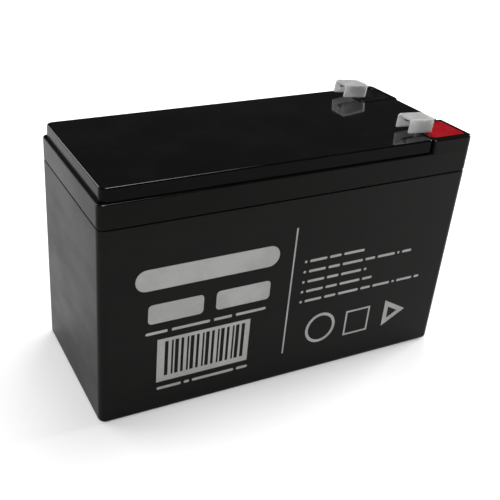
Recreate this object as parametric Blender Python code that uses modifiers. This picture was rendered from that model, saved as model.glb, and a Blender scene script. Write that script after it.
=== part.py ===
"""Sealed lead acid battery: 12 V block of six absorbent glass mat cells in two rows of three.

Metres, +Z up. The origin is the middle of the underside. The printed long side faces -Y,
and both terminals are at the +X end: positive at the front (-Y), negative at the back.
"""

import math

import bmesh
import bpy
from mathutils import Matrix, Vector

# Outside of the block
LENGTH = 0.151
WIDTH = 0.065
HEIGHT = 0.094
CORNER_RADIUS = 0.002
FOOT_RADIUS = 0.0015
EDGE_RADIUS = 0.00035
DRAFT = 0.0003
FIT_GAP = 0.0003

# Container
SEAM_DEPTH = 0.0144
SEAM_GROOVE = 0.0006
SEAM_LIP = 0.0011
TONGUE = 0.0013
CONTAINER_WALL = 0.0022
FLOOR = 0.0025
PARTITION = 0.0015
CELL_CORNER = 0.0008

# Lid and its stepped top
LID_WALL = 0.0022
LEDGE_DEPTH = 0.0048
LEDGE_AT_ENDS = 0.0023
LEDGE_AT_SIDES = 0.0011
SKIRT_SHELF = 0.0026
DECK = 0.002
DECK_BELOW_LEDGE = 0.0027

# Corner blocks at the +X end, each with an open pocket for its terminal
BLOCK_LENGTH = 0.0187
BLOCK_WIDTH = 0.019
POCKET_DEPTH = 0.01
POCKET_FLOOR_WALL = 0.002
POCKET_CORNER = 0.002
RIM_AT_SIDE = 0.0029
RIM_AT_END = 0.001
RIM_INSIDE = 0.0012
RIM_AT_MIDDLE = 0.001

# Cover plate over the valves
COVER_PLATE = 0.0018
COVER_SKIRT = 0.0016
COVER_CORNER = 0.002
NOTCH_CORNER = 0.0012

# Valves: a rubber hood over each filling tube
VALVE_FROM_BLOCK = 0.0032
TUBE_RADIUS = 0.0045
TUBE_BORE = 0.0028
TUBE_HEIGHT = 0.004
VALVE_WALL = 0.0009
VALVE_HEM = 0.0006

# Cell elements: plates, pleated mat, lead straps
POSITIVE_THICKNESS = 0.0023
NEGATIVE_THICKNESS = 0.0015
MAT_THICKNESS = 0.0009
MAT_MARGIN = 0.0015
LUG_WIDTH = 0.008
LUG_HEIGHT = 0.0045
LUG_INSET = 0.0008
STRAP_WIDTH = 0.0115
STRAP_HEIGHT = 0.0045
STRAP_SINK = 0.001
UPRIGHT_THICKNESS = 0.0028
UPRIGHT_WIDTH = 0.010
UPRIGHT_HEIGHT = 0.0058
UPRIGHT_GAP = 0.0006
UPRIGHT_BELOW_RIM = 0.0015
CAST_RADIUS = 0.001
WELD_RADIUS = 0.0026
FOLD_STEPS = 4

# Terminals
TERMINAL_FROM_SIDE = 0.0111
LEG_FROM_RIM = 0.0017
TAB_WIDTH = 0.00475
TAB_THICKNESS = 0.0008
BLADE_LENGTH = 0.00635
BLADE_TIP = 0.0009
BLADE_HOLE = 0.00085
BEND_RADIUS = 0.0009
BEND_STEPS = 4
FOOT_LENGTH = 0.0084
POST_RADIUS = 0.0032
POST_FROM_END = 0.0093
POST_ABOVE_FLOOR = 0.004
SEAL_SECTION = 0.0008
EPOXY_BELOW_RIM = 0.0003

# Slip-on caps, open below and at the end away from the pocket
CAP_LENGTH = 0.0117
CAP_WIDTH = 0.0082
CAP_HEIGHT = 0.0055
CAP_WALL = 0.0008
CAP_END_RADIUS = 0.0014
CAP_MOUTH_RADIUS = 0.0012
CAP_EDGE_RADIUS = 0.00035
RAIL_HEIGHT = 0.0006
RAIL_GRIP = 0.0003
BACK_CAP_TILT = math.radians(6.6)
FRONT_CAP_TILT = math.radians(4.2)
BACK_CAP_SLACK = 0.0006

ROUND_STEPS = 24
CORNER_STEPS = 5
EDGE_STEPS = 2
BEYOND = 0.002

# Sizes that follow from the ones above
HALF_LENGTH = LENGTH / 2
HALF_WIDTH = WIDTH / 2
SEAM_HEIGHT = HEIGHT - SEAM_DEPTH
LID_BOTTOM = SEAM_HEIGHT + SEAM_GROOVE
TONGUE_BOTTOM = LID_BOTTOM - TONGUE
REBATE = TONGUE_BOTTOM - FIT_GAP
LEDGE_HEIGHT = HEIGHT - LEDGE_DEPTH
BLOCK_X = HALF_LENGTH - BLOCK_LENGTH
BLOCK_Y = HALF_WIDTH - BLOCK_WIDTH
COVER_END = HALF_LENGTH - LEDGE_AT_ENDS
COVER_SIDE = HALF_WIDTH - LEDGE_AT_SIDES
GALLERY_END = COVER_END - SKIRT_SHELF
GALLERY_SIDE = COVER_SIDE - SKIRT_SHELF
GALLERY_BLOCK_X = BLOCK_X - SKIRT_SHELF
GALLERY_BLOCK_Y = BLOCK_Y - SKIRT_SHELF
DECK_TOP = LEDGE_HEIGHT - DECK_BELOW_LEDGE
DECK_UNDERSIDE = DECK_TOP - DECK
TUBE_TOP = DECK_TOP + TUBE_HEIGHT
POCKET_FLOOR = HEIGHT - POCKET_DEPTH
POCKET_LOW_X = BLOCK_X + RIM_INSIDE
POCKET_HIGH_X = HALF_LENGTH - RIM_AT_END
POCKET_NEAR_Y = BLOCK_Y + RIM_AT_MIDDLE
POCKET_FAR_Y = HALF_WIDTH - RIM_AT_SIDE

CELL_LENGTH = (LENGTH - 2 * CONTAINER_WALL - 2 * PARTITION) / 3
CELL_WIDTH = (WIDTH - 2 * CONTAINER_WALL - PARTITION) / 2
COLUMN_PITCH = CELL_LENGTH + PARTITION
ROW_Y = (CELL_WIDTH + PARTITION) / 2
VALVE_RADIUS = TUBE_RADIUS + FIT_GAP + VALVE_WALL + VALVE_HEM
VALVE_SHIFT = GALLERY_BLOCK_X - VALVE_FROM_BLOCK - VALVE_RADIUS - COLUMN_PITCH

MAT_BOTTOM = FLOOR + FIT_GAP
PLATE_BOTTOM = MAT_BOTTOM + MAT_MARGIN
STRAP_TOP = REBATE - UPRIGHT_BELOW_RIM - UPRIGHT_HEIGHT
STRAP_BOTTOM = STRAP_TOP - STRAP_HEIGHT
PLATE_TOP = STRAP_BOTTOM + STRAP_SINK - LUG_HEIGHT
MAT_TOP = PLATE_TOP + MAT_MARGIN
WELD_HEIGHT = STRAP_TOP + UPRIGHT_HEIGHT - WELD_RADIUS - FIT_GAP
PLATE_PITCH = (POSITIVE_THICKNESS + NEGATIVE_THICKNESS) / 2 + MAT_THICKNESS + 2 * FIT_GAP
POSITIVE_PLATES = int((CELL_WIDTH - NEGATIVE_THICKNESS - 2 * FIT_GAP) / (2 * PLATE_PITCH))
PLEAT_SHIFT = (POSITIVE_THICKNESS - NEGATIVE_THICKNESS) / 4
FOLD_REACH = PLATE_PITCH / 2 + abs(PLEAT_SHIFT) + MAT_THICKNESS / 2
PLATE_WIDTH = CELL_LENGTH - 2 * (FOLD_REACH + FIT_GAP)
STRAP_X = CELL_LENGTH / 2 - FIT_GAP - STRAP_WIDTH / 2
LUG_X = PLATE_WIDTH / 2 - LUG_INSET - LUG_WIDTH / 2

TERMINAL_Y = HALF_WIDTH - TERMINAL_FROM_SIDE
LEG_X = POCKET_LOW_X + LEG_FROM_RIM
POST_X = HALF_LENGTH - POST_FROM_END
POST_TOP = POCKET_FLOOR + POST_ABOVE_FLOOR
SEAL_TOP = POCKET_FLOOR + FIT_GAP + 2 * SEAL_SECTION
EPOXY_TOP = HEIGHT - EPOXY_BELOW_RIM
TERMINAL_FOOT = POST_TOP + FIT_GAP + TAB_THICKNESS / 2
BLADE_UNDER_CAP = CAP_WALL + FIT_GAP + TAB_THICKNESS / 2
CAP_DEPTH = CAP_HEIGHT - BLADE_UNDER_CAP

# The cells in the order of the current, from the positive terminal: (column, row, side of its
# positive strap), with columns -1, 0, 1 along X and rows -1 (front) and 1 (back)
CELLS = ((1, -1, 1), (0, -1, 1), (-1, -1, 1), (-1, 1, -1), (0, 1, -1), (1, 1, -1))


# Scene and collections
for leftover in list(bpy.data.objects):
    bpy.data.objects.remove(leftover)

parts = bpy.data.collections.new("sealed_lead_acid_battery")
cutters = bpy.data.collections.new("cutters")
bpy.context.scene.collection.children.link(parts)
bpy.context.scene.collection.children.link(cutters)
cutters.hide_render = True


def material(name, colour, roughness, metallic=0.0):
    made = bpy.data.materials.new(name)
    made.use_nodes = True
    shader = made.node_tree.nodes["Principled BSDF"]
    shader.inputs["Base Color"].default_value = (*colour, 1.0)
    shader.inputs["Roughness"].default_value = roughness
    shader.inputs["Metallic"].default_value = metallic
    return made


BLACK_PLASTIC = material("satin_black_abs", (0.012, 0.012, 0.012), 0.45)
LID_PLASTIC = material("satin_black_abs_lid", (0.013, 0.013, 0.013), 0.42)
GLOSS_PLASTIC = material("glossy_black_abs", (0.008, 0.008, 0.009), 0.08)
VALVE_RUBBER = material("valve_rubber", (0.03, 0.03, 0.03), 0.7)
SEAL_RUBBER = material("seal_rubber", (0.02, 0.02, 0.02), 0.6)
POSITIVE_LEAD = material("lead_dioxide_plates", (0.06, 0.035, 0.025), 0.8)
NEGATIVE_LEAD = material("sponge_lead_plates", (0.16, 0.17, 0.18), 0.7, 0.4)
WELD_LEAD = material("weld_lead", (0.3, 0.3, 0.32), 0.45, 0.9)
GLASS_MAT = material("glass_mat", (0.85, 0.85, 0.82), 0.95)
TINNED_BRASS = material("tinned_brass", (0.7, 0.69, 0.66), 0.3, 1.0)
RED_EPOXY = material("red_epoxy", (0.4, 0.01, 0.015), 0.35)
BLACK_EPOXY = material("black_epoxy", (0.01, 0.01, 0.01), 0.35)
CAP_PLASTIC = material("milky_cap_plastic", (0.45, 0.45, 0.44), 0.45)


# Ways of making a solid
def keep(name, mesh_shape, finish=None, smooth=False):
    """A named object from a bmesh: a part where it has a finish, otherwise a cutter."""
    mesh = bpy.data.meshes.new(name)
    mesh_shape.to_mesh(mesh)
    mesh_shape.free()
    if smooth:
        mesh.shade_smooth()
        mesh.set_sharp_from_angle(angle=math.radians(35))
    made = bpy.data.objects.new(name, mesh)
    if finish:
        mesh.materials.append(finish)
        parts.objects.link(made)
    else:
        cutters.objects.link(made)
        made.hide_render = True
        made.display_type = "WIRE"
    return made


def box_shape(low, high):
    shape = bmesh.new()
    bmesh.ops.create_cube(shape, size=1.0)
    low, high = Vector(low), Vector(high)
    bmesh.ops.scale(shape, vec=high - low, verts=shape.verts)
    bmesh.ops.translate(shape, vec=(low + high) / 2, verts=shape.verts)
    return shape


def round_edges(shape, chosen, radius, steps):
    if radius > 0:
        edges = [edge for edge in shape.edges if chosen(*(v.co for v in edge.verts))]
        bmesh.ops.bevel(
            shape, geom=edges, offset=radius, offset_type="OFFSET",
            segments=steps, profile=0.5, affect="EDGES", clamp_overlap=True,
        )


def upright(a, b):
    return abs(a.z - b.z) > (a - b).length / 2


def rounded_box_shape(low, high, corner=0.0, top=0.0, bottom=0.0, draft=0.0, steps=CORNER_STEPS):
    """A box with round upright corners and edges, narrower by the draft at its foot."""
    shape = box_shape(low, high)
    middle = (Vector(low) + Vector(high)) / 2
    for vertex in shape.verts:
        if vertex.co.z < middle.z:
            vertex.co.x -= math.copysign(draft, vertex.co.x - middle.x)
            vertex.co.y -= math.copysign(draft, vertex.co.y - middle.y)
    near = 1e-6
    round_edges(shape, upright, corner, steps)
    round_edges(shape, lambda a, b: min(a.z, b.z) > high[2] - near, top, min(EDGE_STEPS, steps))
    round_edges(shape, lambda a, b: max(a.z, b.z) < low[2] + near, bottom, EDGE_STEPS + 1)
    return shape


def rounded_box(name, low, high, finish=None, **radii):
    return keep(name, rounded_box_shape(low, high, **radii), finish, smooth=True)


def rod(name, centre, radius, low, high, axis="Z"):
    """A cylinder between two levels of its axis, round the centre's other two coordinates."""
    shape = bmesh.new()
    bmesh.ops.create_cone(
        shape, cap_ends=True, segments=ROUND_STEPS, radius1=radius, radius2=radius, depth=high - low
    )
    turn = {"X": Matrix.Rotation(math.pi / 2, 4, "Y"), "Y": Matrix.Rotation(math.pi / 2, 4, "X")}
    if axis in turn:
        bmesh.ops.transform(shape, matrix=turn[axis], verts=shape.verts)
    place = Vector(centre)
    place["XYZ".index(axis)] = (low + high) / 2
    bmesh.ops.translate(shape, vec=place, verts=shape.verts)
    return keep(name, shape, smooth=True)


def boolean(target, other, operation):
    step = target.modifiers.new(other.name, "BOOLEAN")
    step.operation = operation
    step.solver = "EXACT"
    step.object = other


def cut(target, *others):
    for other in others:
        boolean(target, other, "DIFFERENCE")


def join(target, *others):
    for other in others:
        boolean(target, other, "UNION")


def soften(target, radius):
    step = target.modifiers.new("softened edges", "BEVEL")
    step.width = radius
    step.segments = EDGE_STEPS
    step.limit_method = "ANGLE"
    step.angle_limit = math.radians(50)


def turned(name, profile, centre, finish):
    """A turned piece: the profile's (radius, height) points spun round the centre's upright."""
    shape = bmesh.new()
    points = [shape.verts.new((radius, 0, height)) for radius, height in profile]
    for first, second in zip(points, points[1:]):
        shape.edges.new((first, second))
    if profile[0][0] > 0:
        shape.edges.new((points[-1], points[0]))
    made = keep(name, shape, finish)
    made.location = centre
    spin = made.modifiers.new("turned", "SCREW")
    spin.steps = ROUND_STEPS
    spin.render_steps = ROUND_STEPS
    spin.use_merge_vertices = True
    spin.merge_threshold = 0.00001
    spin.use_smooth_shade = True
    return made


# Container: one moulded tub, six cells between a long partition and two cross partitions,
# with a thin lip round its top that the lid's tongue drops inside
def cell_centre(column, row):
    return column * COLUMN_PITCH, row * ROW_Y


container = rounded_box(
    "container", (-HALF_LENGTH, -HALF_WIDTH, 0), (HALF_LENGTH, HALF_WIDTH, SEAM_HEIGHT),
    BLACK_PLASTIC, corner=CORNER_RADIUS, top=EDGE_RADIUS, bottom=FOOT_RADIUS, draft=DRAFT,
)
for number, (column, row, _) in enumerate(CELLS, 1):
    x, y = cell_centre(column, row)
    cut(container, rounded_box(
        f"cell_space_{number}",
        (x - CELL_LENGTH / 2, y - CELL_WIDTH / 2, FLOOR),
        (x + CELL_LENGTH / 2, y + CELL_WIDTH / 2, SEAM_HEIGHT + BEYOND),
        corner=CELL_CORNER,
    ))
cut(container, rounded_box(
    "rebate", (-HALF_LENGTH + SEAM_LIP, -HALF_WIDTH + SEAM_LIP, REBATE),
    (HALF_LENGTH - SEAM_LIP, HALF_WIDTH - SEAM_LIP, SEAM_HEIGHT + BEYOND),
    corner=CORNER_RADIUS - SEAM_LIP,
))


# Cell elements. A plate is a pasted grid with its lug; the mat is one sheet in pleats that
# wraps each positive plate at one upright edge and each inner negative plate at the other.
def plate_shape(thickness, lug_x, y):
    """A plate with its lug drawn up from the top edge, at the element's own centre."""
    half = PLATE_WIDTH / 2
    shape = box_shape((-half, y - thickness / 2, PLATE_BOTTOM), (half, y + thickness / 2, PLATE_TOP))
    for side in (-1, 1):
        bmesh.ops.bisect_plane(
            shape, geom=shape.verts[:] + shape.edges[:] + shape.faces[:],
            plane_co=(lug_x + side * LUG_WIDTH / 2, 0, 0), plane_no=(1, 0, 0),
        )
    top = next(
        face for face in shape.faces
        if face.normal.z > 0.5 and abs(face.calc_center_median().x - lug_x) < LUG_WIDTH / 2
    )
    drawn = bmesh.ops.extrude_face_region(shape, geom=[top])
    bmesh.ops.delete(shape, geom=[top], context="FACES_ONLY")
    lifted = [item for item in drawn["geom"] if isinstance(item, bmesh.types.BMVert)]
    bmesh.ops.translate(shape, vec=(0, 0, LUG_HEIGHT), verts=lifted)
    return shape


def plate_comb(name, count, thickness, lug_side, place):
    comb = bmesh.new()
    for index in range(count):
        y = (index - (count - 1) / 2) * 2 * PLATE_PITCH
        plate = plate_shape(thickness, lug_side * LUG_X, y)
        sheet = bpy.data.meshes.new("plate")
        plate.to_mesh(sheet)
        plate.free()
        comb.from_mesh(sheet)
        bpy.data.meshes.remove(sheet)
    bmesh.ops.translate(comb, vec=place, verts=comb.verts)
    bmesh.ops.recalc_face_normals(comb, faces=comb.faces)
    return keep(name, comb)


def strap(name, x, y, reach, finish):
    """The lead bar cast on to a group's lugs, across all its plates."""
    half = STRAP_WIDTH / 2
    return rounded_box(
        name, (x - half, y - reach, STRAP_BOTTOM), (x + half, y + reach, STRAP_TOP),
        finish, corner=CAST_RADIUS, top=CAST_RADIUS / 2, steps=1,
    )


def group(name, number, count, thickness, side, finish, link):
    """A plate group: its plates joined by the strap, and what leads the current on."""
    column, row, _ = CELLS[number - 1]
    x, y = cell_centre(column, row)
    strap_x = x + side * STRAP_X
    made = strap(name, strap_x, y, CELL_WIDTH / 2 - FIT_GAP, finish)
    join(made, plate_comb(f"{name}_comb", count, thickness, side, (x, y, 0)))
    if link == "terminal":
        post = rod(
            f"{name}_post", (POST_X, row * TERMINAL_Y, 0), POST_RADIUS, STRAP_TOP - BEYOND, POST_TOP
        )
        join(made, post)
        return made
    low, high = Vector((strap_x, y, STRAP_BOTTOM)), Vector((strap_x, y, STRAP_TOP + UPRIGHT_HEIGHT))
    if link == "next column":
        wall = x + side * (CELL_LENGTH / 2 - UPRIGHT_GAP)
        low.x, high.x = sorted((wall, wall - side * UPRIGHT_THICKNESS))
        low.y -= UPRIGHT_WIDTH / 2
        high.y += UPRIGHT_WIDTH / 2
    else:
        wall = y - row * (CELL_WIDTH / 2 - UPRIGHT_GAP)
        low.y, high.y = sorted((wall, wall + row * UPRIGHT_THICKNESS))
        low.x -= UPRIGHT_WIDTH / 2
        high.x += UPRIGHT_WIDTH / 2
    low.z += STRAP_HEIGHT / 4
    join(made, rounded_box(f"{name}_upright", low, high, corner=CAST_RADIUS / 2, steps=1))
    return made


def pleats():
    """The middle line of the folded mat in plan, from one face of the element to the other."""
    points = []
    passes = 2 * POSITIVE_PLATES
    for index in range(passes):
        y = (index - (passes - 1) / 2) * PLATE_PITCH + pleat_offset(index)
        start = PLATE_WIDTH / 2 * (-1 if index % 2 == 0 else 1)
        points.append((start, y))
        points.append((-start, y))
        if index == passes - 1:
            break
        following = (index + 1 - (passes - 1) / 2) * PLATE_PITCH + pleat_offset(index + 1)
        radius = (following - y) / 2
        for step in range(1, FOLD_STEPS):
            turn = math.pi * step / FOLD_STEPS
            out = math.copysign(math.sin(turn) * radius, -start)
            points.append((-start + out, y + radius * (1 - math.cos(turn))))
    return points


def pleat_offset(index):
    """Passes lie nearer the thin negative plates than halfway between plate middles."""
    return -PLEAT_SHIFT if index % 2 == 0 else PLEAT_SHIFT


def separator(number):
    column, row, _ = CELLS[number - 1]
    x, y = cell_centre(column, row)
    shape = bmesh.new()
    line = [shape.verts.new((x + px, y + py, MAT_BOTTOM)) for px, py in pleats()]
    edges = [shape.edges.new(pair) for pair in zip(line, line[1:])]
    drawn = bmesh.ops.extrude_edge_only(shape, edges=edges)
    lifted = [item for item in drawn["geom"] if isinstance(item, bmesh.types.BMVert)]
    bmesh.ops.translate(shape, vec=(0, 0, MAT_TOP - MAT_BOTTOM), verts=lifted)
    made = keep(f"separator_{number}", shape, GLASS_MAT)
    thick = made.modifiers.new("mat thickness", "SOLIDIFY")
    thick.thickness = MAT_THICKNESS
    thick.offset = 0
    thick.use_even_offset = True
    return made


last = len(CELLS)
for number, (column, row, positive_side) in enumerate(CELLS, 1):
    following = CELLS[number] if number < last else None
    previous = CELLS[number - 2] if number > 1 else None
    if previous is None:
        inward = "terminal"
    else:
        inward = "next row" if previous[1] != row else "next column"
    if following is None:
        onward = "terminal"
    else:
        onward = "next row" if following[1] != row else "next column"
    group(
        f"positive_plates_{number}", number, POSITIVE_PLATES, POSITIVE_THICKNESS,
        positive_side, POSITIVE_LEAD, inward,
    )
    group(
        f"negative_plates_{number}", number, POSITIVE_PLATES + 1, NEGATIVE_THICKNESS,
        -positive_side, NEGATIVE_LEAD, onward,
    )
    separator(number)


# Cell welds: lead that joins two uprights through a round hole in the partition
def weld(number):
    column, row, _ = CELLS[number - 1]
    next_column, next_row, _ = CELLS[number]
    if row == next_row:
        axis = "X"
        middle = (column + next_column) / 2 * COLUMN_PITCH
        centre = (0, row * ROW_Y, WELD_HEIGHT)
    else:
        axis = "Y"
        middle = 0.0
        centre = (column * COLUMN_PITCH - STRAP_X, 0, WELD_HEIGHT)
    half = PARTITION / 2 + UPRIGHT_GAP - FIT_GAP
    made = rod(f"cell_weld_{number}", centre, WELD_RADIUS, middle - half, middle + half, axis)
    cutters.objects.unlink(made)
    parts.objects.link(made)
    made.hide_render = False
    made.display_type = "TEXTURED"
    made.data.materials.append(WELD_LEAD)
    hole = rod(
        f"weld_hole_{number}", centre, WELD_RADIUS + FIT_GAP,
        middle - half - BEYOND, middle + half + BEYOND, axis,
    )
    cut(container, hole)


for number in range(1, last):
    weld(number)


# Lid: one moulding with a ledge all round, two corner blocks, six filling tubes on a sunk
# deck, and ribs below that meet the partitions
lid = rounded_box(
    "lid", (-HALF_LENGTH, -HALF_WIDTH, LID_BOTTOM), (HALF_LENGTH, HALF_WIDTH, HEIGHT),
    LID_PLASTIC, corner=CORNER_RADIUS,
)
cut(
    lid,
    rounded_box(
        "step_before_blocks", (-LENGTH, -WIDTH, LEDGE_HEIGHT), (BLOCK_X, WIDTH, HEIGHT + BEYOND)
    ),
    rounded_box(
        "step_between_blocks",
        (BLOCK_X - BEYOND, -BLOCK_Y, LEDGE_HEIGHT), (LENGTH, BLOCK_Y, HEIGHT + BEYOND),
    ),
)
soften(lid, EDGE_RADIUS)
inside_lip = SEAM_LIP + FIT_GAP
join(lid, rounded_box(
    "tongue", (-HALF_LENGTH + inside_lip, -HALF_WIDTH + inside_lip, TONGUE_BOTTOM),
    (HALF_LENGTH - inside_lip, HALF_WIDTH - inside_lip, LID_BOTTOM + BEYOND),
    corner=CORNER_RADIUS - SEAM_LIP,
))
cut(
    lid,
    rounded_box(
        "space_under_deck",
        (-HALF_LENGTH + LID_WALL, -HALF_WIDTH + LID_WALL, TONGUE_BOTTOM - BEYOND),
        (HALF_LENGTH - LID_WALL, HALF_WIDTH - LID_WALL, DECK_UNDERSIDE),
        corner=CELL_CORNER,
    ),
    rounded_box(
        "gallery", (-GALLERY_END, -GALLERY_SIDE, DECK_TOP),
        (GALLERY_BLOCK_X, GALLERY_SIDE, HEIGHT + BEYOND), corner=COVER_CORNER,
    ),
    rounded_box(
        "gallery_between_blocks", (GALLERY_BLOCK_X - BEYOND, -GALLERY_BLOCK_Y, DECK_TOP),
        (GALLERY_END, GALLERY_BLOCK_Y, HEIGHT + BEYOND),
    ),
)
rib = PARTITION / 2
rib_end = (inside_lip + LID_WALL) / 2
join(lid, rounded_box(
    "long_rib", (-HALF_LENGTH + rib_end, -rib, TONGUE_BOTTOM),
    (HALF_LENGTH - rib_end, rib, DECK_UNDERSIDE + DECK / 2),
))
for side in (-1, 1):
    x = side * COLUMN_PITCH / 2
    join(lid, rounded_box(
        f"cross_rib_{side + 2}", (x - rib, -HALF_WIDTH + rib_end, TONGUE_BOTTOM),
        (x + rib, HALF_WIDTH - rib_end, DECK_UNDERSIDE + DECK / 2),
    ))
for number, (column, row, _) in enumerate(CELLS, 1):
    x, y = cell_centre(column, row)
    x += VALVE_SHIFT
    join(lid, rod(
        f"filling_tube_{number}", (x, y, 0), TUBE_RADIUS, DECK_UNDERSIDE + DECK / 2, TUBE_TOP
    ))
    cut(lid, rod(
        f"filling_bore_{number}", (x, y, 0), TUBE_BORE, DECK_UNDERSIDE - BEYOND, TUBE_TOP + BEYOND
    ))
    hood = TUBE_RADIUS + FIT_GAP
    roof = HEIGHT - COVER_PLATE - FIT_GAP
    turned(
        f"vent_valve_{number}",
        (
            (0, roof),
            (hood + VALVE_WALL - VALVE_HEM, roof),
            (hood + VALVE_WALL, roof - VALVE_HEM),
            (hood + VALVE_WALL, DECK_TOP + FIT_GAP + VALVE_HEM),
            (hood + VALVE_WALL + VALVE_HEM, DECK_TOP + FIT_GAP + VALVE_HEM),
            (hood + VALVE_WALL + VALVE_HEM, DECK_TOP + FIT_GAP),
            (hood, DECK_TOP + FIT_GAP),
            (hood, TUBE_TOP + FIT_GAP),
            (0, TUBE_TOP + FIT_GAP),
        ),
        (x, y, 0), VALVE_RUBBER,
    )


# Cover plate: a glossy inverted tray on the ledge, its two +X corners cut out for the blocks
cover = rounded_box(
    "top_cover", (-COVER_END, -COVER_SIDE, LEDGE_HEIGHT + FIT_GAP),
    (COVER_END, COVER_SIDE, HEIGHT), GLOSS_PLASTIC, corner=COVER_CORNER,
)
for side in (-1, 1):
    low, high = sorted((side * (BLOCK_Y - FIT_GAP), side * WIDTH))
    cut(cover, rounded_box(
        f"cover_notch_{side + 2}", (BLOCK_X - FIT_GAP, low, LEDGE_HEIGHT),
        (LENGTH, high, HEIGHT + BEYOND), corner=NOTCH_CORNER,
    ))
soften(cover, EDGE_RADIUS)
under = HEIGHT - COVER_PLATE
cut(
    cover,
    rounded_box(
        "cover_space", (-COVER_END + COVER_SKIRT, -COVER_SIDE + COVER_SKIRT, LEDGE_HEIGHT - BEYOND),
        (BLOCK_X - FIT_GAP - COVER_SKIRT, COVER_SIDE - COVER_SKIRT, under),
    ),
    rounded_box(
        "cover_space_between_blocks",
        (
            BLOCK_X - FIT_GAP - COVER_SKIRT - BEYOND,
            -BLOCK_Y + FIT_GAP + COVER_SKIRT, LEDGE_HEIGHT - BEYOND,
        ),
        (COVER_END - COVER_SKIRT, BLOCK_Y - FIT_GAP - COVER_SKIRT, under),
    ),
)


# Terminals: lead post up through the lid, a tinned tab bent over towards the middle, and the
# resin that seals the pocket
def tab_line(tilt, bend_height):
    """(x, z) points down the middle of the bent strip, from its foot to the tip of its blade."""
    def bend(corner, start, end):
        """An arc that rounds the corner between two directions."""
        first, second = Vector(start), Vector(end)
        reach = BEND_RADIUS * math.tan(first.angle(second) / 2)
        swing = first.angle(second)
        side = second - first * first.dot(second)
        side.normalize()
        begin = Vector(corner) - first * reach
        centre = begin + side * BEND_RADIUS
        return [
            centre + (first * math.sin(swing * step / BEND_STEPS)
                      - side * math.cos(swing * step / BEND_STEPS)) * BEND_RADIUS
            for step in range(BEND_STEPS + 1)
        ]

    along = (-math.cos(tilt), math.sin(tilt))
    foot, top = (LEG_X, TERMINAL_FOOT), (LEG_X, bend_height)
    tip = Vector(top) + Vector(along) * (TAB_THICKNESS / 2 + BLADE_LENGTH)
    line = [Vector((LEG_X + FOOT_LENGTH, TERMINAL_FOOT))]
    line += bend(foot, (-1, 0), (0, 1))
    line += bend(top, (0, 1), along)
    line += [tip - Vector(along) * BLADE_TIP, tip]
    return line


def terminal(name, y, tilt, bend_height):
    line = tab_line(tilt, bend_height)
    shape = bmesh.new()
    bmesh.ops.create_grid(shape, x_segments=len(line) - 1, y_segments=1, size=1.0)
    for vertex in shape.verts:
        station = round((vertex.co.x + 1) / 2 * (len(line) - 1))
        half = TAB_WIDTH / 2 - (BLADE_TIP / 2 if station == len(line) - 1 else 0)
        vertex.co = (line[station].x, y + math.copysign(half, vertex.co.y), line[station].y)
    made = keep(name, shape, TINNED_BRASS)
    thick = made.modifiers.new("strip thickness", "SOLIDIFY")
    thick.thickness = TAB_THICKNESS
    thick.offset = 0
    thick.use_even_offset = True
    along = Vector((-math.cos(tilt), 0, math.sin(tilt)))
    middle = Vector((LEG_X, y, bend_height)) + along * (TAB_THICKNESS / 2 + BLADE_LENGTH / 2)
    cut(made, rod(
        f"{name}_hole", middle, BLADE_HOLE, middle.z - BEYOND, middle.z + BEYOND
    ))
    return made


def cap_end(tilt, slack):
    """How far the cap's closed end lies past the leg, so that its leaning wall clears the leg."""
    inside = (TAB_THICKNESS / 2 + FIT_GAP + CAP_DEPTH * math.sin(tilt)) / math.cos(tilt)
    return inside + CAP_WALL + slack


def cap(name, y, tilt, bend_height, slack):
    """A slip-on cap in the frame of the blade, which its two inner rails grip from below."""
    frame = bpy.data.objects.new(f"{name}_frame", None)
    parts.objects.link(frame)
    frame.location = (LEG_X, y, bend_height)
    frame.rotation_euler = (0, tilt, 0)
    end, top = cap_end(tilt, slack), BLADE_UNDER_CAP
    mouth, half = end - CAP_LENGTH, CAP_WIDTH / 2
    shape = box_shape((mouth, -half, top - CAP_HEIGHT), (end, half, top))
    near = 1e-6
    round_edges(
        shape, lambda a, b: upright(a, b) and a.x > end - near, CAP_END_RADIUS, CORNER_STEPS
    )
    round_edges(
        shape, lambda a, b: max(a.x, b.x) < mouth + near and min(a.z, b.z) > top - near,
        CAP_MOUTH_RADIUS, CORNER_STEPS - 1,
    )
    made = keep(name, shape, CAP_PLASTIC, smooth=True)
    soften(made, CAP_EDGE_RADIUS)
    hollow = rounded_box(
        f"{name}_hollow", (mouth - BEYOND, -half + CAP_WALL, top - CAP_HEIGHT - BEYOND),
        (end - CAP_WALL, half - CAP_WALL, top - CAP_WALL),
    )
    cut(made, hollow)
    helpers = [hollow]
    rail_top = -TAB_THICKNESS / 2 - FIT_GAP
    for side in (-1, 1):
        low, high = sorted((side * (half - CAP_WALL / 2), side * (TAB_WIDTH / 2 - RAIL_GRIP)))
        rail = rounded_box(
            f"{name}_rail_{side + 2}",
            (-TAB_THICKNESS / 2 - BLADE_LENGTH, low, rail_top - RAIL_HEIGHT),
            (-TAB_THICKNESS / 2 - BEND_RADIUS - FIT_GAP, high, rail_top),
        )
        join(made, rail)
        helpers.append(rail)
    for piece in (made, *helpers):
        piece.parent = frame
    return made


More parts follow.
